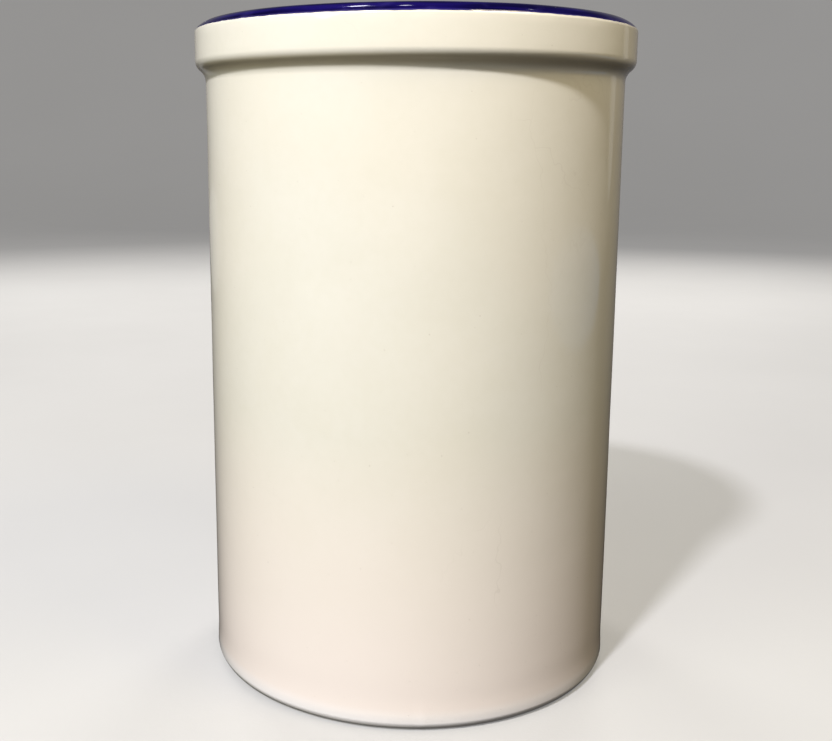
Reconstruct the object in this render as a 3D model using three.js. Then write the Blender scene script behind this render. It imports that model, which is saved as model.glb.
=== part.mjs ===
// A tall, straight-sided ceramic jar with a stepped collar and a blue glazed lip.
// It is one fired clay body, and the coats of glaze that cover it are its other pieces.
// Millimetres, +Z up. The origin is the centre of the foot, on the surface the jar stands on.

import * as THREE from "three";

// Driving dimensions of the glazed jar.
const HEIGHT = 165;
const BODY_RADIUS = 52.8;
const COLLAR_STEP = 2.55;
const COLLAR_EDGE_HEIGHT = 155.5;
const WALL = 5;
const FLOOR = 6;
const GLAZE = 0.4;

// Roundings, each the radius of the glazed surface.
const FOOT_ROUNDING = 2.6;
const COVE_ROUNDING = 3.6;
const COLLAR_EDGE_ROUNDING = 3;
const CORNER_ROUNDING = 1;
const FLOOR_FILLET = 6;

// The tight corner at the top of the collar: the height of its centre, and how far it turns
// before the lip's wide dome takes over.
const CORNER_HEIGHT = 162.05;
const CORNER_ANGLE = 38;

// The foot ring: flat bare clay around a shallow glazed recess.
const RECESS = 2;
const FOOT_INNER_RADIUS = 44.5;
const FOOT_INNER_SLOPE = 1.5;
const UNDERSIDE_GLAZE_RADIUS = 42.5;

// Where one coat of glaze ends and the next begins.
const BARE_FOOT_ANGLE = -50;
const BLUE_DEPTH_INSIDE = 5;

// Sides of every round section, and the widest turn of one straight step along an arc.
const SIDES = 48;
const ARC_STEP = 18;

// Places that follow from the dimensions above.
const COLLAR_RADIUS = BODY_RADIUS + COLLAR_STEP;
const INNER_RADIUS = BODY_RADIUS - WALL;
const FLOOR_HEIGHT = RECESS + FLOOR;

// The dome continues the corner without an edge and reaches the full height, so its rounding
// follows from the corner. The inner rounding runs from the dome's top to the inside wall.
const CORNER_SINE = Math.sin(THREE.MathUtils.degToRad(CORNER_ANGLE));
const CORNER_COSINE = Math.cos(THREE.MathUtils.degToRad(CORNER_ANGLE));
const CORNER_RADIUS = COLLAR_RADIUS - CORNER_ROUNDING;
const DOME_ROUNDING =
  (HEIGHT - CORNER_HEIGHT - CORNER_ROUNDING * CORNER_SINE) / (1 - CORNER_SINE);
const TOP_RADIUS = CORNER_RADIUS - (DOME_ROUNDING - CORNER_ROUNDING) * CORNER_COSINE;
const LIP_INNER_ROUNDING = TOP_RADIUS - INNER_RADIUS;

// The cove and the collar's lower edge are two arcs that meet without a corner, so their common
// angle follows from how far they carry the surface outwards.
const COVE_ANGLE = THREE.MathUtils.radToDeg(
  Math.acos(1 - COLLAR_STEP / (COVE_ROUNDING + COLLAR_EDGE_ROUNDING)),
);
const COVE_HEIGHT =
  COLLAR_EDGE_HEIGHT -
  (COVE_ROUNDING + COLLAR_EDGE_ROUNDING) * Math.sin(THREE.MathUtils.degToRad(COVE_ANGLE));

// Points on a circular arc in the half-plane of radius and height, angles in degrees.
function arc(centreRadius, centreHeight, rounding, fromAngle, toAngle) {
  const steps = Math.ceil(Math.abs(toAngle - fromAngle) / ARC_STEP);
  const points = [];
  for (let i = 0; i <= steps; i++) {
    const angle = THREE.MathUtils.degToRad(fromAngle + ((toAngle - fromAngle) * i) / steps);
    points.push(
      new THREE.Vector2(
        centreRadius + rounding * Math.cos(angle),
        centreHeight + rounding * Math.sin(angle),
      ),
    );
  }
  return points;
}

// Each skin below is an outline that lies a given depth under the glazed surface. A rounding that
// bulges gets smaller with depth, and a hollow one gets larger.

// The foot's rounding, whose clay just touches the ground.
function footSkin(depth, fromAngle, toAngle) {
  const centreRadius = BODY_RADIUS - FOOT_ROUNDING;
  const centreHeight = FOOT_ROUNDING - GLAZE;
  return arc(centreRadius, centreHeight, FOOT_ROUNDING - depth, fromAngle, toAngle);
}

// Up the outside, from the bare foot to the blue line where the corner ends.
function outerSkin(depth) {
  const coveCentre = BODY_RADIUS + COVE_ROUNDING;
  const edgeCentre = COLLAR_RADIUS - COLLAR_EDGE_ROUNDING;
  return [
    ...footSkin(depth, BARE_FOOT_ANGLE, 0),
    ...arc(coveCentre, COVE_HEIGHT, COVE_ROUNDING + depth, 180, 180 - COVE_ANGLE),
    ...arc(
      edgeCentre,
      COLLAR_EDGE_HEIGHT,
      COLLAR_EDGE_ROUNDING - depth,
      -COVE_ANGLE,
      0,
    ).slice(1),
    ...arc(CORNER_RADIUS, CORNER_HEIGHT, CORNER_ROUNDING - depth, 0, CORNER_ANGLE),
  ];
}

// Over the lip, from the blue line outside to the blue line inside.
function rimSkin(depth) {
  const domeHeight = HEIGHT - DOME_ROUNDING;
  const innerHeight = HEIGHT - LIP_INNER_ROUNDING;
  return [
    ...arc(TOP_RADIUS, domeHeight, DOME_ROUNDING - depth, CORNER_ANGLE, 90),
    ...arc(TOP_RADIUS, innerHeight, LIP_INNER_ROUNDING - depth, 90, 180).slice(1),
    new THREE.Vector2(INNER_RADIUS + depth, HEIGHT - BLUE_DEPTH_INSIDE),
  ];
}

// Down the inside, from the blue line to the middle of the floor.
function innerSkin(depth) {
  const filletCentre = INNER_RADIUS - FLOOR_FILLET;
  const filletHeight = FLOOR_HEIGHT + FLOOR_FILLET;
  return [
    new THREE.Vector2(INNER_RADIUS + depth, HEIGHT - BLUE_DEPTH_INSIDE),
    ...arc(filletCentre, filletHeight, FLOOR_FILLET + depth, 0, -90),
    new THREE.Vector2(0, FLOOR_HEIGHT - depth),
  ];
}

// A closed ring of glaze: its surface, then back along the clay, and round to its start.
function coat(skin) {
  const surface = skin(0);
  return [...surface, ...skin(GLAZE).reverse(), surface[0]];
}

// The fired clay, with a flat foot ring round the recess in its underside.
function clayOutline() {
  return [
    new THREE.Vector2(0, RECESS),
    new THREE.Vector2(FOOT_INNER_RADIUS - FOOT_INNER_SLOPE, RECESS),
    new THREE.Vector2(FOOT_INNER_RADIUS, 0),
    ...footSkin(GLAZE, -90, BARE_FOOT_ANGLE),
    ...outerSkin(GLAZE).slice(1),
    ...rimSkin(GLAZE).slice(1),
    ...innerSkin(GLAZE).slice(1),
  ];
}

// The glaze on the floor is whole, so its outline starts and ends on the axis.
function innerCoatOutline() {
  return [...innerSkin(GLAZE).reverse(), ...innerSkin(0)];
}

// The disc of glaze on the recessed underside.
function undersideOutline() {
  return [
    new THREE.Vector2(0, RECESS - GLAZE),
    new THREE.Vector2(UNDERSIDE_GLAZE_RADIUS, RECESS - GLAZE),
    new THREE.Vector2(UNDERSIDE_GLAZE_RADIUS, RECESS),
    new THREE.Vector2(0, RECESS),
  ];
}

// Turns an outline round the jar's upright axis and names the piece.
function turned(name, outline, material) {
  const geometry = new THREE.LatheGeometry(outline, SIDES);
  geometry.rotateX(Math.PI / 2);
  const mesh = new THREE.Mesh(geometry, material);
  mesh.name = name;
  return mesh;
}

// Bare clay is pale and matt, and every glaze is glossy.
function bareClay() {
  return new THREE.MeshStandardMaterial({ color: 0xd8cbb4, roughness: 0.85, metalness: 0 });
}

function whiteGlaze() {
  return new THREE.MeshStandardMaterial({ color: 0xf5eedd, roughness: 0.15, metalness: 0 });
}

function blueGlaze() {
  return new THREE.MeshStandardMaterial({ color: 0x1a1066, roughness: 0.12, metalness: 0 });
}

const jar = new THREE.Group();
jar.name = "glazed_jar";
jar.add(turned("ceramic_body", clayOutline(), bareClay()));
jar.add(turned("outer_glaze", coat(outerSkin), whiteGlaze()));
jar.add(turned("rim_glaze", coat(rimSkin), blueGlaze()));
jar.add(turned("inner_glaze", innerCoatOutline(), whiteGlaze()));
jar.add(turned("underside_glaze", undersideOutline(), whiteGlaze()));

export default jar;
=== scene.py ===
"""The looks of a tall glazed ceramic jar: clay, white and blue glazes, a pale floor and soft light.

Metres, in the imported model's frame: +Z up, and the origin is under the middle of the foot. Every
piece is turned from one outline of the jar's glazed surface, with the small unevenness of a fired
and hand-glazed piece.
"""

import math

import bmesh
import bpy
from mathutils import Matrix, Vector, noise


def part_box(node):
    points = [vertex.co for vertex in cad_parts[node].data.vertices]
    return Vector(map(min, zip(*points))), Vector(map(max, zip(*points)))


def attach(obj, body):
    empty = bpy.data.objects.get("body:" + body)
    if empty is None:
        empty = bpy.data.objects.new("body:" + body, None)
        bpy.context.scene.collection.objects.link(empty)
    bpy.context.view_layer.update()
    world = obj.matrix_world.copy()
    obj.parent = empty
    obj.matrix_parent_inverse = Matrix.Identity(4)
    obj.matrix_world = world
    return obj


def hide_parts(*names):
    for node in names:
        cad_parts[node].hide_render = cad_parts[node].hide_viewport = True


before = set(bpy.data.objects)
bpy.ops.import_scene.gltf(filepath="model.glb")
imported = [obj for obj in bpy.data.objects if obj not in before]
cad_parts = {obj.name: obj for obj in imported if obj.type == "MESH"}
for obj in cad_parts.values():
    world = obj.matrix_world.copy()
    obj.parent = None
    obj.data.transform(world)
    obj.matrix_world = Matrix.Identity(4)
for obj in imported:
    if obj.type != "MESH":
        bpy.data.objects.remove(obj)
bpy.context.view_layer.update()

MM = 0.001
BODY = "root"


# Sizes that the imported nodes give.

def widest(node, highest):
    """The largest distance from the axis among a node's points up to a height."""
    points = [v.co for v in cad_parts[node].data.vertices]
    return max(p.xy.length for p in points if p.z <= highest)


UNDERSIDE_LOW, UNDERSIDE_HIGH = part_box("underside_glaze")
INSIDE_LOW, INSIDE_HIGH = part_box("inner_glaze")
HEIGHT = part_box("rim_glaze")[1].z
GLAZE = UNDERSIDE_HIGH.z - UNDERSIDE_LOW.z
RECESS = UNDERSIDE_HIGH.z
UNDERSIDE_RADIUS = UNDERSIDE_HIGH.x
INNER_RADIUS = INSIDE_HIGH.x - GLAZE
FLOOR_HEIGHT = INSIDE_LOW.z + GLAZE
COLLAR_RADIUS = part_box("outer_glaze")[1].x
WALL_RADIUS = widest("outer_glaze", HEIGHT / 2)
BLUE_INSIDE_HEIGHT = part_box("rim_glaze")[0].z

# Roundings of the glazed surface, and the heights and angles where they begin or end, as in the
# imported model.
FOOT_ROUNDING = 2.6 * MM
COVE_ROUNDING = 3.6 * MM
EDGE_ROUNDING = 3 * MM
CORNER_ROUNDING = 1 * MM
FLOOR_FILLET = 6 * MM
EDGE_HEIGHT = 155.5 * MM
CORNER_HEIGHT = 162.05 * MM
CORNER_ANGLE = math.radians(38)
FOOT_INNER_RADIUS = 44.5 * MM
FOOT_INNER_SLOPE = 1.5 * MM
BARE_FOOT_ANGLE = math.radians(-50)

# The lip: a tight corner at the top of the collar, a wide dome up to the full height, and an inner
# rounding down to the inside wall.
CORNER_RADIUS = COLLAR_RADIUS - CORNER_ROUNDING
BLUE_LINE_HEIGHT = CORNER_HEIGHT + CORNER_ROUNDING * math.sin(CORNER_ANGLE)
DOME_ROUNDING = (HEIGHT - BLUE_LINE_HEIGHT) / (1 - math.sin(CORNER_ANGLE))
TOP_RADIUS = CORNER_RADIUS - (DOME_ROUNDING - CORNER_ROUNDING) * math.cos(CORNER_ANGLE)
LIP_INNER_ROUNDING = TOP_RADIUS - INNER_RADIUS

# The cove and the collar's lower edge are two arcs that meet without a corner.
COVE_ANGLE = math.acos(1 - (COLLAR_RADIUS - WALL_RADIUS) / (COVE_ROUNDING + EDGE_ROUNDING))
COVE_HEIGHT = EDGE_HEIGHT - (COVE_ROUNDING + EDGE_ROUNDING) * math.sin(COVE_ANGLE)

# How finely the pieces are made: sides around the axis, steps along round and straight stretches,
# the least distance between two steps, and how many times coarser the surfaces under the glaze are.
AROUND = 576
ARC_STEP = 0.25 * MM
WALL_STEP = 2.0 * MM
LEAST_STEP = 0.02 * MM
HIDDEN = 5

# Edges that turn by more than this are drawn sharp, and points this near the axis lie on it.
SHARP_ANGLE = math.radians(38)
ON_AXIS = 1e-9


# The glazed surface as one outline, from the edge of the glaze at the foot to the middle of the
# floor. A place on it is a distance along it, and at() gives the radius and height there and the
# direction that faces out.

class Line:
    """A straight stretch of the outline."""

    def __init__(self, start, end):
        self.start = Vector(start)
        self.way = Vector(end) - self.start
        self.length = self.way.length
        self.way.normalize()
        self.step = WALL_STEP

    def at(self, distance):
        return self.start + self.way * distance, Vector((self.way.y, -self.way.x))


class Arc:
    """A round stretch of the outline. A hollow one faces its own centre."""

    def __init__(self, centre, rounding, start, end):
        self.centre = Vector(centre)
        self.rounding = rounding
        self.start = start
        self.turn = 1 if end > start else -1
        self.length = rounding * abs(end - start)
        self.step = ARC_STEP

    def at(self, distance):
        angle = self.start + self.turn * distance / self.rounding
        out = Vector((math.cos(angle), math.sin(angle)))
        return self.centre + out * self.rounding, out * self.turn


class Outline:
    """Stretches joined end to end."""

    def __init__(self, stretches):
        self.stretches = stretches
        self.starts = [0.0]
        for stretch in stretches:
            self.starts.append(self.starts[-1] + stretch.length)
        self.length = self.starts[-1]

    def at(self, distance):
        """The point at a distance along the outline, and the direction that faces out there."""
        index = 0
        while index < len(self.stretches) - 1 and distance > self.starts[index + 1]:
            index += 1
        return self.stretches[index].at(distance - self.starts[index])

    def places(self, start, end, coarseness=1):
        """Distances from start to end, close together on the round stretches."""
        found = [start]
        for begin, stretch in zip(self.starts, self.stretches):
            steps = max(1, math.ceil(stretch.length / stretch.step / coarseness))
            for i in range(steps + 1):
                place = begin + stretch.length * i / steps
                if start < place < end and place - found[-1] > LEAST_STEP:
                    found.append(place)
        if end - found[-1] < LEAST_STEP:
            found.pop()
        return found + [end]


FOOT_CENTRE = (WALL_RADIUS - FOOT_ROUNDING, FOOT_ROUNDING - GLAZE)
SURFACE = Outline([
    Arc(FOOT_CENTRE, FOOT_ROUNDING, BARE_FOOT_ANGLE, 0),
    Line((WALL_RADIUS, FOOT_CENTRE[1]), (WALL_RADIUS, COVE_HEIGHT)),
    Arc((WALL_RADIUS + COVE_ROUNDING, COVE_HEIGHT), COVE_ROUNDING, math.pi, math.pi - COVE_ANGLE),
    Arc((COLLAR_RADIUS - EDGE_ROUNDING, EDGE_HEIGHT), EDGE_ROUNDING, -COVE_ANGLE, 0),
    Line((COLLAR_RADIUS, EDGE_HEIGHT), (COLLAR_RADIUS, CORNER_HEIGHT)),
    Arc((CORNER_RADIUS, CORNER_HEIGHT), CORNER_ROUNDING, 0, CORNER_ANGLE),
    Arc((TOP_RADIUS, HEIGHT - DOME_ROUNDING), DOME_ROUNDING, CORNER_ANGLE, math.pi / 2),
    Arc((TOP_RADIUS, HEIGHT - LIP_INNER_ROUNDING), LIP_INNER_ROUNDING, math.pi / 2, math.pi),
    Line((INNER_RADIUS, HEIGHT - LIP_INNER_ROUNDING), (INNER_RADIUS, FLOOR_HEIGHT + FLOOR_FILLET)),
    Arc((INNER_RADIUS - FLOOR_FILLET, FLOOR_HEIGHT + FLOOR_FILLET), FLOOR_FILLET, 0, -math.pi / 2),
    Line((INNER_RADIUS - FLOOR_FILLET, FLOOR_HEIGHT), (0, FLOOR_HEIGHT)),
])

# Which of those stretches are the dome and the inside wall, and where the blue begins and ends.
DOME = 6
INSIDE_WALL = 8
BLUE_LINE = SURFACE.starts[DOME]
BLUE_END = SURFACE.starts[INSIDE_WALL] + HEIGHT - LIP_INNER_ROUNDING - BLUE_INSIDE_HEIGHT


# The unevenness of the real surface: how far it is out of round, its slow waves (around, upwards, and
# how far they lie inside the true outline), the radius inside which both die out, the soft roll and
# hollow above the foot, and one thicker run of glaze.

OVAL = 0.07 * MM
OVAL_PHASE = 0.7
WAVE = 0.035 * MM
WAVES_AROUND = 3.2
WAVES_UP = 55
WAVE_INSET = 0.6
CALM_RADIUS = INNER_RADIUS * 0.6
ROLL_HEIGHT = 2.6 * MM
ROLL = 0.14 * MM
ROLL_WIDTH = 1.7 * MM
HOLLOW_HEIGHT = 7.5 * MM
HOLLOW = 0.06 * MM
HOLLOW_WIDTH = 2.8 * MM
RUN_AZIMUTH = math.radians(-86.2)
RUN_START = 2 * MM
RUN_TOP = 9 * MM
RUN = 0.12 * MM
RUN_WIDTH = 1.1 * MM

# The glaze's edges: the blue's raised ridge, the white's rounded edge at the foot and the share of
# its thickness that is gone there, how far the glaze overruns its true edge, and how far up the
# surface a shifted edge takes its neighbours along.
RIDGE = 0.05 * MM
RIDGE_WIDTH = 0.35 * MM
THIN_EDGE = 0.5 * MM
THINNED = 0.96
OVERRUN = 0.32 * MM
RUN_OVERRUN = 0.12 * MM
REACH = 3 * MM

# How the edges wander, as layers of noise: how far, how fine, and a height that keeps them apart.
FOOT_LAYERS = ((0.16 * MM, 2.3, 4.0), (0.07 * MM, 14.0, 9.0))
BLUE_LAYERS = ((0.20 * MM, 1.6, 1.0), (0.13 * MM, 9.0, 2.0), (0.10 * MM, 34.0, 3.0))
BLUE_INNER_LAYERS = ((0.9 * MM, 1.9, 5.0), (0.35 * MM, 11.0, 6.0))
POOL_LAYER = (0.35 * MM, 3.0, 7.0)


def around(azimuth, size, height=0.0):
    """A point for the noise functions that has no seam around the jar. Size is its radius."""
    return Vector((size * math.cos(azimuth), size * math.sin(azimuth), height))


def ramp(value, low, high):
    """Smoothly from 0 at low to 1 at high."""
    t = min(1.0, max(0.0, (value - low) / (high - low)))
    return t * t * (3 - 2 * t)


def hump(value, middle, width):
    """1 at the middle, and down to nothing on both sides."""
    return math.exp(-(((value - middle) / width) ** 2))


def on_the_run(azimuth):
    """How much a place around the jar belongs to the thicker run of glaze that reaches the foot."""
    return hump(math.remainder(azimuth - RUN_AZIMUTH, 2 * math.pi) * WALL_RADIUS, 0, RUN_WIDTH)


def wandering(azimuth, layers):
    """How far an edge strays at an azimuth, from all its layers of noise."""
    return sum(far * noise.noise(around(azimuth, fine, height)) for far, fine, height in layers)


def unevenness(azimuth, distance, point):
    """How far the glazed surface stands out from the true outline at a place."""
    oval = OVAL * (math.cos(2 * azimuth + OVAL_PHASE) - 1)
    wave = WAVE * (noise.noise(around(azimuth, WAVES_AROUND, point.y * WAVES_UP)) - WAVE_INSET)
    high = (oval + wave) * ramp(point.x, 0, CALM_RADIUS)
    outside_low = distance < HEIGHT / 2
    if outside_low:
        roll = ROLL * hump(point.y, ROLL_HEIGHT, ROLL_WIDTH) * ramp(distance, 0, ROLL_HEIGHT)
        hollow = HOLLOW * hump(point.y, HOLLOW_HEIGHT, HOLLOW_WIDTH)
        run = RUN * on_the_run(azimuth) * ramp(distance, 0, RUN_START)
        high += roll - hollow + run * (1 - ramp(point.y, 0, RUN_TOP))
    return high


def foot_edge(azimuth):
    """How far the glaze's lower edge is shifted up. Below zero, it runs down past its true edge."""
    return wandering(azimuth, FOOT_LAYERS) - OVERRUN - RUN_OVERRUN * on_the_run(azimuth)


def blue_edge(azimuth):
    """How far the hand-painted blue line outside wanders along the surface."""
    return wandering(azimuth, BLUE_LAYERS)


def blue_inner_edge(azimuth):
    """The same for the line inside, which is painted less carefully."""
    return wandering(azimuth, BLUE_INNER_LAYERS)


# Meshes.

def revolve(name, profile, material, node):
    """A closed piece turned round the jar's axis.

    profile(azimuth) lists its (radius, height) points, as many at every azimuth. An end on the axis
    becomes one shared point, and a profile that stays off the axis closes on itself.
    """
    mesh = bpy.data.meshes.new(name)
    bm = bmesh.new()
    rings = []
    poles = {}
    for i in range(AROUND):
        azimuth = 2 * math.pi * i / AROUND
        ring = []
        for k, (radius, height) in enumerate(profile(azimuth)):
            if radius < ON_AXIS and k in poles:
                ring.append(poles[k])
                continue
            vertex = bm.verts.new((radius * math.cos(azimuth), radius * math.sin(azimuth), height))
            ring.append(vertex)
            if radius < ON_AXIS:
                poles[k] = vertex
        rings.append(ring)
    count = len(rings[0])
    spans = count - 1 if poles else count
    for i in range(AROUND):
        here = rings[i]
        beyond = rings[(i + 1) % AROUND]
        for k in range(spans):
            after = (k + 1) % count
            corners = [here[k], beyond[k], beyond[after], here[after]]
            unlike = [c for j, c in enumerate(corners) if c is not corners[j - 1]]
            bm.faces.new(unlike)
    bm.normal_update()
    bm.to_mesh(mesh)
    bm.free()
    for polygon in mesh.polygons:
        polygon.use_smooth = True
    mesh.set_sharp_from_angle(angle=SHARP_ANGLE)
    piece = bpy.data.objects.new(name, mesh)
    bpy.context.scene.collection.objects.link(piece)
    mesh.materials.append(material)
    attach(piece, BODY)
    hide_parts(node)
    return piece


def skin(places, azimuth, lift):
    """The glazed surface at some places, as (radius, height) points, with lift(place) on top of it."""
    points = []
    for place in places:
        point, out = SURFACE.at(place)
        high = unevenness(azimuth, place, point) + lift(place)
        points.append(tuple(point + out * high))
    return points


def backing(places):
    """The clay under the glaze at some places."""
    points = []
    for place in places:
        point, out = SURFACE.at(place)
        points.append(tuple(point - out * GLAZE))
    return points


def moved(places, from_start, to_end):
    """Places whose first and last shift along the surface. The shift dies out REACH away from them."""
    first, last = places[0], places[-1]
    return [
        place
        + from_start * (1 - ramp(place - first, 0, REACH))
        + to_end * (1 - ramp(last - place, 0, REACH))
        for place in places
    ]


def eased(edge, inwards, steps=6):
    """Distances from an edge that get further and further apart."""
    return [edge + inwards * (i / steps) ** 2 for i in range(steps)]


OUTER_PLACES = eased(0, THIN_EDGE) + SURFACE.places(THIN_EDGE, BLUE_LINE)
RIM_PLACES = eased(BLUE_LINE, RIDGE_WIDTH) + SURFACE.places(BLUE_LINE + RIDGE_WIDTH, BLUE_END)
INNER_PLACES = SURFACE.places(BLUE_END, SURFACE.length)
OUTER_BACK = SURFACE.places(0, BLUE_LINE, HIDDEN)
RIM_BACK = SURFACE.places(BLUE_LINE, BLUE_END, HIDDEN)
INNER_BACK = SURFACE.places(BLUE_END, SURFACE.length, HIDDEN)
CLAY_PLACES = SURFACE.places(0, SURFACE.length, HIDDEN)


def outer_profile(azimuth):
    """The white coat outside. Its lower edge thins out almost to nothing in a small rounding."""
    shifts = foot_edge(azimuth), blue_edge(azimuth)
    places = moved(OUTER_PLACES, *shifts)
    back = moved(OUTER_BACK, *shifts)

    def lift(place):
        gone = max(0.0, 1 - (place - places[0]) / THIN_EDGE)
        return -THINNED * GLAZE * (1 - math.sqrt(1 - gone * gone))

    return skin(places, azimuth, lift) + backing(reversed(back))


def rim_profile(azimuth):
    """The blue band over the lip, a hair proud of the white just inside its painted edges."""
    shifts = blue_edge(azimuth), blue_inner_edge(azimuth)
    places = moved(RIM_PLACES, *shifts)
    back = moved(RIM_BACK, *shifts)

    def lift(place):
        from_edge = min(place - places[0], places[-1] - place)
        return RIDGE * ramp(from_edge, 0, RIDGE_WIDTH) * (1 - ramp(from_edge, RIDGE_WIDTH, REACH))

    return skin(places, azimuth, lift) + backing(reversed(back))


def inner_profile(azimuth):
    """The white coat inside, whole over the floor."""
    shift = blue_inner_edge(azimuth)
    places = moved(INNER_PLACES, shift, 0.0)
    under = backing(reversed(moved(INNER_BACK, shift, 0.0)))
    return [(0.0, FLOOR_HEIGHT - GLAZE)] + under[1:] + skin(places, azimuth, lambda place: 0.0)


def arc_points(centre, rounding, start, end, steps):
    """The points of an arc, with both of its ends."""
    angles = [start + (end - start) * i / steps for i in range(steps + 1)]
    return [(centre[0] + rounding * math.cos(a), centre[1] + rounding * math.sin(a)) for a in angles]


# The foot ring's inner side: a groove where it meets the recess, and a bulge halfway down.
GROOVE = 0.12 * MM
GROOVE_WIDTH = 0.3 * MM
SLOPE_BULGE = 0.2 * MM
SLOPE_STEPS = 5
FOOT_STEPS = 10
POOL_EDGE_STEPS = 8


def clay_profile(azimuth):
    """The fired clay: recess, foot ring and everything under the glaze."""
    slope_top = FOOT_INNER_RADIUS - FOOT_INNER_SLOPE
    points = [(0.0, RECESS), (slope_top - GROOVE_WIDTH, RECESS)]
    for i in range(SLOPE_STEPS + 1):
        t = i / SLOPE_STEPS
        bulge = SLOPE_BULGE * math.sin(math.pi * t)
        radius = FOOT_INNER_RADIUS - FOOT_INNER_SLOPE * (1 - t) - bulge
        points.append((radius, RECESS * (1 - t) + GROOVE * (1 - t)))
    foot_rounding = FOOT_ROUNDING - GLAZE
    foot = arc_points(FOOT_CENTRE, foot_rounding, -math.pi / 2, BARE_FOOT_ANGLE, FOOT_STEPS)
    return points + foot[:-1] + backing(CLAY_PLACES)


def underside_profile(azimuth):
    """The glaze in the recess, a puddle with a round edge."""
    far, fine, height = POOL_LAYER
    radius = UNDERSIDE_RADIUS + far * (noise.noise(around(azimuth, fine, height)) - 1)
    edge = arc_points((radius - GLAZE, RECESS), GLAZE, -math.pi / 2, 0, POOL_EDGE_STEPS)
    return [(0.0, RECESS - GLAZE)] + edge + [(0.0, RECESS)]


# Materials. Every pattern is placed by the object's own coordinates, in metres, so it stays where it
# is when the view changes.

class Shading:
    """A material under construction, with the steps and patterns that the materials below share."""

    def __init__(self, name):
        self.material = bpy.data.materials.new(name)
        self.material.use_nodes = True
        self.tree = self.material.node_tree
        self.shader = self.tree.nodes["Principled BSDF"]
        self.place = self.tree.nodes.new("ShaderNodeTexCoord").outputs["Object"]
        parts = self.tree.nodes.new("ShaderNodeSeparateXYZ")
        self.tree.links.new(self.place, parts.inputs[0])
        self.across = parts.outputs["X"]
        self.along = parts.outputs["Y"]
        self.height = parts.outputs["Z"]

    def feed(self, socket, value):
        """Links a value that comes from a node, and sets one that is a plain number or colour."""
        if isinstance(value, bpy.types.NodeSocket):
            self.tree.links.new(value, socket)
        elif isinstance(value, tuple) and len(value) == 3 and len(socket.default_value) == 4:
            socket.default_value = (*value, 1)
        else:
            socket.default_value = value

    def sum(self, operation, *values):
        """One step of arithmetic on numbers or values from nodes."""
        node = self.tree.nodes.new("ShaderNodeMath")
        node.operation = operation
        for socket, value in zip(node.inputs, values):
            self.feed(socket, value)
        return node.outputs[0]

    def radius(self):
        """The distance from the jar's axis."""
        squares = self.sum("POWER", self.across, 2.0), self.sum("POWER", self.along, 2.0)
        return self.sum("SQRT", self.sum("ADD", *squares))

    def scaled(self, stretch, shift=(0, 0, 0)):
        """The place on the object, stretched and shifted."""
        node = self.tree.nodes.new("ShaderNodeVectorMath")
        node.operation = "MULTIPLY_ADD"
        self.feed(node.inputs[0], self.place)
        node.inputs[1].default_value = stretch
        node.inputs[2].default_value = shift
        return node.outputs[0]

    def noise(self, scale, detail=2.0, stretch=(1, 1, 1), shift=(0, 0, 0), rough=0.5):
        """Cloudy noise from 0 to 1, with scale features to the metre."""
        node = self.tree.nodes.new("ShaderNodeTexNoise")
        self.feed(node.inputs["Vector"], self.scaled(stretch, shift))
        node.inputs["Scale"].default_value = scale
        node.inputs["Detail"].default_value = detail
        node.inputs["Roughness"].default_value = rough
        return node.outputs["Fac"]

    def bent(self, place, scale, amount):
        """A place moved by noise, up to an amount along each axis, so that straight lines turn wavy."""
        waves = self.tree.nodes.new("ShaderNodeTexNoise")
        self.feed(waves.inputs["Vector"], self.place)
        waves.inputs["Scale"].default_value = scale
        node = self.tree.nodes.new("ShaderNodeVectorMath")
        node.operation = "MULTIPLY_ADD"
        self.feed(node.inputs[0], waves.outputs["Color"])
        node.inputs[1].default_value = (amount, amount, amount)
        self.feed(node.inputs[2], place)
        return node.outputs[0]

    def cells(self, scale, feature="F1", stretch=(1, 1, 1), shift=(0, 0, 0), bend=0.0):
        """Distance in cell units: to the middle of the nearest cell, or to its edge."""
        node = self.tree.nodes.new("ShaderNodeTexVoronoi")
        node.feature = feature
        place = self.scaled(stretch, shift)
        if bend:
            place = self.bent(place, BEND_SCALE, bend)
        self.feed(node.inputs["Vector"], place)
        node.inputs["Scale"].default_value = scale
        return node.outputs["Distance"]

    def fade(self, value, low, high, smooth=True):
        """From 0 where value is low to 1 where it is high. High may be the smaller number."""
        node = self.tree.nodes.new("ShaderNodeMapRange")
        node.interpolation_type = "SMOOTHSTEP" if smooth else "LINEAR"
        self.feed(node.inputs["Value"], value)
        node.inputs["From Min"].default_value = low
        node.inputs["From Max"].default_value = high
        return node.outputs["Result"]

    def between(self, value, low, high):
        """A number that goes from low to high as value goes from 0 to 1."""
        return self.sum("MULTIPLY_ADD", value, high - low, low)

    def blend(self, factor, first, second):
        """A colour between two others. A mix node's colours are its inputs 6 and 7 and its output 2."""
        node = self.tree.nodes.new("ShaderNodeMix")
        node.data_type = "RGBA"
        self.feed(node.inputs[0], factor)
        self.feed(node.inputs[6], first)
        self.feed(node.inputs[7], second)
        return node.outputs[2]

    def tinted(self, colour, pattern, strength, other):
        """A colour with some of another one where a pattern is high."""
        return self.blend(self.sum("MULTIPLY", pattern, strength), colour, other)

    def spots(self, scale, size, shift=(0, 0, 0)):
        """Small round spots, 1 in the middle of each. Size is a spot's radius in metres."""
        middle = self.cells(scale, shift=shift)
        return self.fade(middle, size * scale, SPOT_CORE * size * scale)

    def bump(self, depth, height, below=None):
        """A normal for a relief of a real depth in metres, on top of another one."""
        node = self.tree.nodes.new("ShaderNodeBump")
        node.inputs["Distance"].default_value = depth
        self.feed(node.inputs["Height"], height)
        if below:
            self.feed(node.inputs["Normal"], below)
        return node.outputs["Normal"]

    def finish(self, colour, roughness, normal):
        self.feed(self.shader.inputs["Base Color"], colour)
        self.feed(self.shader.inputs["Roughness"], roughness)
        self.feed(self.shader.inputs["Normal"], normal)
        return self.material


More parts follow.
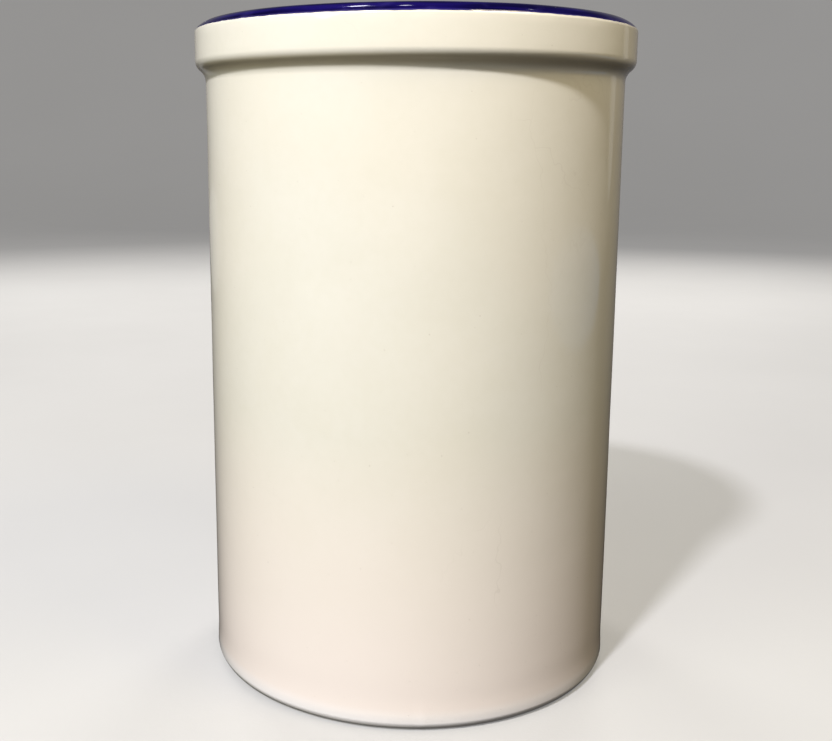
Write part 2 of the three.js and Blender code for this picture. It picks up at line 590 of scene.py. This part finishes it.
CREAM = (0.790, 0.748, 0.630)
CREAM_COOL = (0.781, 0.751, 0.643)
# Lighter and pinker towards the foot: painted light from below.
CREAM_LIT_FROM_BELOW = (0.935, 0.835, 0.750)
CREAM_POOLED = (0.700, 0.668, 0.520)
# Painted shade: the collar's shadow in the cove under it.
CREAM_COVE_SHADE = (0.590, 0.520, 0.365)
# Painted light from below on the foot.
CREAM_FOOT_LIT = (0.960, 0.925, 0.890)
# Painted shade on the rounded corner just under the blue.
CREAM_CORNER_SHADE = (0.700, 0.655, 0.545)
SPECK = (0.33, 0.25, 0.17)
HAIRLINE = (0.62, 0.56, 0.46)
COBALT_DEEP = (0.0014, 0.0006, 0.026)
COBALT = (0.0068, 0.0032, 0.084)
COBALT_THIN = (0.034, 0.026, 0.150)
COBALT_BLEED = (0.070, 0.058, 0.210)
BUFF = (0.74, 0.67, 0.57)
BUFF_PALE = (0.83, 0.78, 0.70)
BUFF_SCUFFED = (0.48, 0.44, 0.39)
GRIT = (0.36, 0.28, 0.20)
FLOOR_PALE = (0.33, 0.326, 0.318)
FLOOR_PALER = (0.355, 0.351, 0.343)
FLOOR_GLOW = (1.0, 0.985, 0.96)
FLOOR_GLOW_STRENGTH = 0.22

# Where the white glaze changes colour, partly for painted light and shade: lighter and pinker
# towards the foot and whiter on it for painted light from below, and darker for painted shade in the
# cove and just under the blue. The first of a pair is where the change begins, and the second is
# where it is complete.
LIGHT_FROM_BELOW_HEIGHTS = 72 * MM, 8 * MM
LIGHT_FROM_BELOW_SWAY = 6 * MM
FOOT_LIGHT_HEIGHTS = 6.0 * MM, 1.5 * MM
COVE_SHADE_HEIGHT = COVE_HEIGHT + 2.8 * MM
COVE_SHADE_DISTANCES = 1.7 * MM, 0.3 * MM
UNDER_LINE_SHADE_DISTANCES = 0.6 * MM, 0.1 * MM
OUTSIDE_RADII = INNER_RADIUS + MM, WALL_RADIUS - MM

# The same for the blue glaze and the clay, the share of a spot's radius that has its full colour,
# the sizes of specks and grains, and how far and how finely cracks are bent.
CROWN_DEPTHS = 0.42 * MM, 0.08 * MM
BLEED_DISTANCES = 0.38 * MM, -0.05 * MM
TOUCHING_HEIGHTS = 0.5 * MM, 0.05 * MM
SPOT_CORE = 0.35
SPECK_RADIUS = 0.16 * MM
FAINT_SPECK_RADIUS = 0.15 * MM
GRAIN_RADIUS = 0.22 * MM
CRACK_BEND = 6 * MM
BEND_SCALE = 160

# The brush's streaks, in features to the metre: long around the jar and narrow across the lip.
STREAKS_AROUND = 60.0
STREAKS_ACROSS = 700.0


def white_glaze():
    """Warm white glaze, glassy but never quite flat.

    It drifts slowly in colour and has specks, pores, hairlines and smudges. Painted light from below
    makes it lighter and pinker towards the foot and whiter on the foot itself, and painted shade
    darkens it in the cove under the collar and on the corner just under the blue.
    """
    s = Shading("white_glaze")
    drift = s.fade(s.noise(17, 2, shift=(3, 1, 2)), 0.35, 0.65)
    colour = s.blend(drift, CREAM, CREAM_COOL)
    clouds = s.fade(s.noise(70, 4, shift=(1, 5, 2)), 0.35, 0.7)
    colour = s.tinted(colour, clouds, 0.13, CREAM_POOLED)
    mottle = s.fade(s.noise(420, 3, shift=(6, 3, 5)), 0.3, 0.75)
    colour = s.tinted(colour, mottle, 0.10, CREAM_POOLED)

    # Lighter and pinker towards the foot: painted light from below.
    wavy_height = s.sum("ADD", s.height, s.between(s.noise(28, 3), -LIGHT_FROM_BELOW_SWAY, LIGHT_FROM_BELOW_SWAY))
    lit_from_below = s.fade(wavy_height, *LIGHT_FROM_BELOW_HEIGHTS, smooth=False)
    colour = s.blend(lit_from_below, colour, CREAM_LIT_FROM_BELOW)

    # Painted shade in the cove under the collar, where the collar's shadow falls.
    from_cove_shade = s.sum("ABSOLUTE", s.sum("SUBTRACT", s.height, COVE_SHADE_HEIGHT))
    outside = s.fade(s.radius(), *OUTSIDE_RADII)
    cove_shade = s.sum("MULTIPLY", s.fade(from_cove_shade, *COVE_SHADE_DISTANCES), outside)
    colour = s.tinted(colour, cove_shade, 0.8, CREAM_COVE_SHADE)

    # Whiter on the foot: painted light from below.
    foot = s.fade(s.height, *FOOT_LIGHT_HEIGHTS)
    colour = s.blend(foot, colour, CREAM_FOOT_LIT)

    # Painted shade on the rounded corner just under the blue, to tone down the light that it catches.
    under_line = s.sum("SUBTRACT", BLUE_LINE_HEIGHT, s.height)
    edge = s.sum("MULTIPLY", s.fade(under_line, *UNDER_LINE_SHADE_DISTANCES), outside)
    colour = s.tinted(colour, edge, 0.8, CREAM_CORNER_SHADE)

    specks = s.spots(170, SPECK_RADIUS, shift=(0.3, 0.1, 0.7))
    colour = s.tinted(colour, specks, 0.55, SPECK)
    faint_specks = s.spots(330, FAINT_SPECK_RADIUS, shift=(0.9, 0.4, 0.2))
    colour = s.tinted(colour, faint_specks, 0.26, SPECK)

    cracks = s.cells(48, "DISTANCE_TO_EDGE", (1.0, 1.0, 0.42), (0.2, 0.8, 0.5), CRACK_BEND)
    few = s.fade(s.noise(20, 1, shift=(7, 2, 4)), 0.56, 0.66)
    hairlines = s.sum("MULTIPLY", s.fade(cracks, 0.006, 0.001), few)
    colour = s.tinted(colour, hairlines, 0.22, HAIRLINE)

    smudges = s.fade(s.noise(34, 5, rough=0.6, shift=(2, 9, 4)), 0.45, 0.72)
    wiped = s.noise(60, 4, stretch=(1, 1, 5), shift=(4, 4, 1))
    roughness = s.sum("ADD", s.between(smudges, 0.085, 0.17), s.between(wiped, -0.015, 0.02))

    normal = s.bump(0.050 * MM, s.noise(52, 2, stretch=(1, 1, 1.8)))
    normal = s.bump(0.012 * MM, s.noise(620, 2), normal)
    pores = s.sum("MAXIMUM", specks, faint_specks)
    normal = s.bump(0.030 * MM, s.sum("SUBTRACT", 1.0, pores), normal)
    s.shader.inputs["Specular IOR Level"].default_value = 0.5
    s.shader.inputs["Coat Weight"].default_value = 0.25
    s.shader.inputs["Coat Roughness"].default_value = 0.05
    return s.finish(colour, roughness, normal)


def blue_glaze():
    """Cobalt glaze laid on with a brush, in streaks that follow the lip.

    It is paler where it thins over the crown and where it bleeds into the white.
    """
    s = Shading("blue_glaze")
    radius = s.radius()
    place = s.tree.nodes.new("ShaderNodeCombineXYZ")
    s.feed(place.inputs[0], s.sum("MULTIPLY", s.across, STREAKS_AROUND))
    s.feed(place.inputs[1], s.sum("MULTIPLY", s.along, STREAKS_AROUND))
    s.feed(place.inputs[2], s.sum("MULTIPLY", radius, STREAKS_ACROSS))
    streaks = s.tree.nodes.new("ShaderNodeTexNoise")
    streaks.noise_dimensions = "4D"
    s.feed(streaks.inputs["Vector"], place.outputs[0])
    s.feed(streaks.inputs["W"], s.sum("MULTIPLY", s.height, STREAKS_ACROSS))
    streaks.inputs["Scale"].default_value = 1.0
    streaks.inputs["Detail"].default_value = 4.0
    strokes = s.fade(streaks.outputs["Fac"], 0.36, 0.68)
    colour = s.blend(strokes, COBALT_DEEP, COBALT)

    dabs = s.fade(s.noise(140, 3, shift=(3, 3, 8)), 0.55, 0.75)
    colour = s.tinted(colour, dabs, 0.38, COBALT_THIN)

    crown = s.fade(s.sum("SUBTRACT", HEIGHT, s.height), *CROWN_DEPTHS)
    ragged = s.fade(s.noise(260, 3, shift=(5, 1, 1)), 0.30, 0.62)
    colour = s.tinted(colour, crown, s.between(ragged, 0.25, 0.75), COBALT_THIN)

    above_line = s.sum("SUBTRACT", s.height, BLUE_LINE_HEIGHT)
    outside = s.fade(radius, TOP_RADIUS, CORNER_RADIUS)
    bleed = s.sum("MULTIPLY", s.fade(above_line, *BLEED_DISTANCES), outside)
    colour = s.tinted(colour, bleed, 0.45, COBALT_BLEED)

    roughness = s.between(s.fade(s.noise(90, 4, shift=(6, 2, 3)), 0.3, 0.7), 0.06, 0.13)
    normal = s.bump(0.035 * MM, s.noise(120, 2, shift=(1, 8, 3)))
    normal = s.bump(0.010 * MM, streaks.outputs["Fac"], normal)
    normal = s.bump(0.004 * MM, s.noise(700, 2), normal)
    s.shader.inputs["Coat Weight"].default_value = 0.1
    s.shader.inputs["Coat Roughness"].default_value = 0.04
    return s.finish(colour, roughness, normal)


def bare_clay():
    """Fired clay, matt and gritty, with dark grains, scuffed grey where the foot slides on a table."""
    s = Shading("bare_clay")
    patches = s.fade(s.noise(110, 4), 0.35, 0.7)
    colour = s.blend(patches, BUFF, BUFF_PALE)
    grains = s.spots(620, GRAIN_RADIUS)
    colour = s.tinted(colour, grains, 0.6, GRIT)
    touching = s.fade(s.height, *TOUCHING_HEIGHTS)
    scuffs = s.fade(s.noise(240, 5, stretch=(1, 1, 4), shift=(2, 2, 0)), 0.42, 0.62)
    colour = s.tinted(colour, touching, s.between(scuffs, 0.15, 0.8), BUFF_SCUFFED)
    roughness = s.between(s.noise(400, 3), 0.72, 0.95)
    normal = s.bump(0.05 * MM, s.noise(950, 4, rough=0.65))
    normal = s.bump(0.06 * MM, s.sum("SUBTRACT", 1.0, grains), normal)
    return s.finish(colour, roughness, normal)


def pale_floor():
    """A painted studio floor and wall, with the faintest cloudiness and tooth.

    The paint is a light grey, and a faint glow of its own makes it look pale and evenly lit.
    """
    s = Shading("pale_floor")
    clouds = s.fade(s.noise(3.5, 4), 0.3, 0.7)
    colour = s.blend(clouds, FLOOR_PALE, FLOOR_PALER)
    roughness = s.between(s.noise(14, 4, shift=(1, 2, 3)), 0.5, 0.68)
    normal = s.bump(0.04 * MM, s.noise(900, 3))
    s.feed(s.shader.inputs["Emission Color"], FLOOR_GLOW)
    s.feed(s.shader.inputs["Emission Strength"], FLOOR_GLOW_STRENGTH)
    return s.finish(colour, roughness, normal)


def build_pieces():
    clay = bare_clay()
    white = white_glaze()
    blue = blue_glaze()
    revolve("clay_body", clay_profile, clay, "ceramic_body")
    revolve("outer_white_glaze", outer_profile, white, "outer_glaze")
    revolve("blue_rim_glaze", rim_profile, blue, "rim_glaze")
    revolve("inner_white_glaze", inner_profile, white, "inner_glaze")
    revolve("underside_white_glaze", underside_profile, white, "underside_glaze")


# Camera, floor and light. The camera stands on the jar's -Y side. Lens and sensor are in millimetres,
# as Blender has them, and the shifts are shares of the picture's width.

LENS = 47.19
SENSOR_WIDTH = 36
SHIFT_ACROSS = 0.0573
SHIFT_UP = -0.0318
CAMERA_DISTANCE = 287.2 * MM
CAMERA_HEIGHT = 136.75 * MM
PITCH = math.radians(10.69)
ROLL_ANGLE = math.radians(0.164)
YAW = math.radians(-2.29)


def add_camera():
    data = bpy.data.cameras.new("camera")
    data.lens = LENS
    data.sensor_width = SENSOR_WIDTH
    data.shift_x = SHIFT_ACROSS
    data.shift_y = SHIFT_UP
    camera = bpy.data.objects.new("camera", data)
    bpy.context.scene.collection.objects.link(camera)
    turn = (
        Matrix.Rotation(-YAW, 3, "Z")
        @ Matrix.Rotation(math.pi / 2 - PITCH, 3, "X")
        @ Matrix.Rotation(ROLL_ANGLE, 3, "Z")
    )
    camera.location = (0, -CAMERA_DISTANCE, CAMERA_HEIGHT)
    camera.rotation_euler = turn.to_euler()
    bpy.context.scene.camera = camera


FLOOR_FLAT = 1.4
FLOOR_CURVE = 0.8
WALL_TOP = 1.3
FLOOR_SIDES = 96
FLOOR_STEPS = 16


def add_floor():
    """A round floor that sweeps up into a low wall.

    The jar gets no light from it and doesn't mirror it, so that the jar's dark parts stay dark.
    """
    outline = [(FLOOR_FLAT, 0.0)]
    for i in range(1, FLOOR_STEPS + 1):
        angle = math.pi / 2 * i / FLOOR_STEPS
        radius = FLOOR_FLAT + FLOOR_CURVE * math.sin(angle)
        outline.append((radius, FLOOR_CURVE * (1 - math.cos(angle))))
    outline.append((FLOOR_FLAT + FLOOR_CURVE, WALL_TOP))
    mesh = bpy.data.meshes.new("floor")
    bm = bmesh.new()
    middle = bm.verts.new((0, 0, 0))
    rays = []
    for k in range(FLOOR_SIDES):
        turn = 2 * math.pi * k / FLOOR_SIDES
        rays.append([bm.verts.new((r * math.cos(turn), r * math.sin(turn), z)) for r, z in outline])
    for k, ray in enumerate(rays):
        beyond = rays[(k + 1) % FLOOR_SIDES]
        bm.faces.new((middle, ray[0], beyond[0]))
        for i in range(len(ray) - 1):
            bm.faces.new((ray[i], ray[i + 1], beyond[i + 1], beyond[i]))
    bm.to_mesh(mesh)
    bm.free()
    for polygon in mesh.polygons:
        polygon.use_smooth = True
    floor = bpy.data.objects.new("floor", mesh)
    bpy.context.scene.collection.objects.link(floor)
    mesh.materials.append(pale_floor())
    floor.visible_diffuse = False
    floor.visible_glossy = False


def add_light(name, azimuth, elevation, distance, width, height, power, colour):
    """A soft oval lamp that faces the jar's middle, at a distance in metres.

    The angles are in degrees. Azimuth 0 is the camera's side, and a positive one is to its right.
    """
    data = bpy.data.lights.new(name, "AREA")
    data.shape = "ELLIPSE"
    data.size = width
    data.size_y = height
    data.energy = power
    data.color = colour
    lamp = bpy.data.objects.new(name, data)
    bpy.context.scene.collection.objects.link(lamp)
    a, e = math.radians(azimuth), math.radians(elevation)
    away = Vector((math.sin(a) * math.cos(e), -math.cos(a) * math.cos(e), math.sin(e)))
    lamp.location = Vector((0, 0, HEIGHT / 2)) + away * distance
    lamp.rotation_euler = away.to_track_quat("Z", "Y").to_euler()
    lamp.visible_camera = False
    return lamp


def add_hidden_light(*settings):
    """A lamp that shows in no reflection."""
    add_light(*settings).visible_glossy = False


def add_glint(*settings):
    """A lamp that gives no diffuse light and shows only in reflections."""
    add_light(*settings).visible_diffuse = False


def add_world(level, below, overhead, colour):
    """Soft light from everywhere, full just above the horizon and weaker from overhead and below.

    Each span runs between two heights of the sky, as the upward part of a direction, and its values
    are multiplied with the other's.
    """
    world = bpy.data.worlds.new("world")
    bpy.context.scene.world = world
    world.use_nodes = True
    nodes, links = world.node_tree.nodes, world.node_tree.links
    parts = nodes.new("ShaderNodeSeparateXYZ")
    links.new(nodes.new("ShaderNodeTexCoord").outputs["Generated"], parts.inputs[0])
    product = nodes.new("ShaderNodeMath")
    product.operation = "MULTIPLY"
    spans = ((-0.35, 0.15, below, level), (0.15, 0.55, 1.0, overhead))
    for k, (start, end, first, last) in enumerate(spans):
        part = nodes.new("ShaderNodeMapRange")
        links.new(parts.outputs["Z"], part.inputs["Value"])
        part.inputs["From Min"].default_value = start
        part.inputs["From Max"].default_value = end
        part.inputs["To Min"].default_value = first
        part.inputs["To Max"].default_value = last
        links.new(part.outputs["Result"], product.inputs[k])
    background = nodes["Background"]
    background.inputs["Color"].default_value = (*colour, 1)
    links.new(product.outputs[0], background.inputs["Strength"])


WHITE = (1.0, 1.0, 1.0)


def add_lights():
    """Each lamp: name, azimuth, elevation, distance, width, height, power and colour."""
    add_light("key", -26, 50, 1.1, 0.08, 0.08, 15.6, (0.925, 0.925, 1.0))
    add_light("fill_left", -45, 30, 0.9, 0.5, 0.5, 2.95, (1.0, 0.98, 0.80))
    add_light("warm_right", 55, 55, 0.5, 0.2, 0.2, 1.02, (1.0, 0.85, 0.54))
    add_hidden_light("fill_front", -4, 0, 0.9, 0.5, 0.1, 0.56, (1.0, 0.97, 0.92))
    add_hidden_light("back_right", 163, 27, 1.0, 0.35, 0.35, 6.0, (1.0, 0.97, 0.93))
    add_hidden_light("back_left", -152, 27, 1.0, 0.35, 0.35, 4.5, (1.0, 0.98, 0.95))
    add_hidden_light("under_collar", 75, 1, 0.6, 0.2, 0.12, 0.06, (1.0, 0.86, 0.70))
    add_glint("glint_left", -155, 66, 1.1, 0.08, 0.06, 0.26, WHITE)
    add_glint("glint_middle", -174, 71, 1.1, 0.045, 0.04, 0.09, WHITE)
    add_glint("glint_right", 130, 59, 1.1, 0.03, 0.03, 0.014, WHITE)
    add_glint("strip_right", 127.5, 9, 0.55, 0.07, 0.15, 0.006, WHITE)
    add_glint("glow_right", 116, -1.5, 0.8, 0.4, 0.12, 0.007, WHITE)
    add_glint("glow_low_right", 97, -5, 0.5, 0.4, 0.08, 0.022, (0.1, 0.45, 1.0))
    add_glint("glow_middle", -48.3, -6.2, 0.545, 0.26, 0.045, 0.013, (0.75, 0.9, 1.0))
    add_glint("glow_left", -143, -3, 0.8, 0.4, 0.10, 0.015, WHITE)
    add_world(0.205, 0.028, 0.1, (1.0, 0.96, 0.96))


build_pieces()
add_camera()
add_floor()
add_lights()
bpy.context.scene.view_settings.view_transform = "Standard"
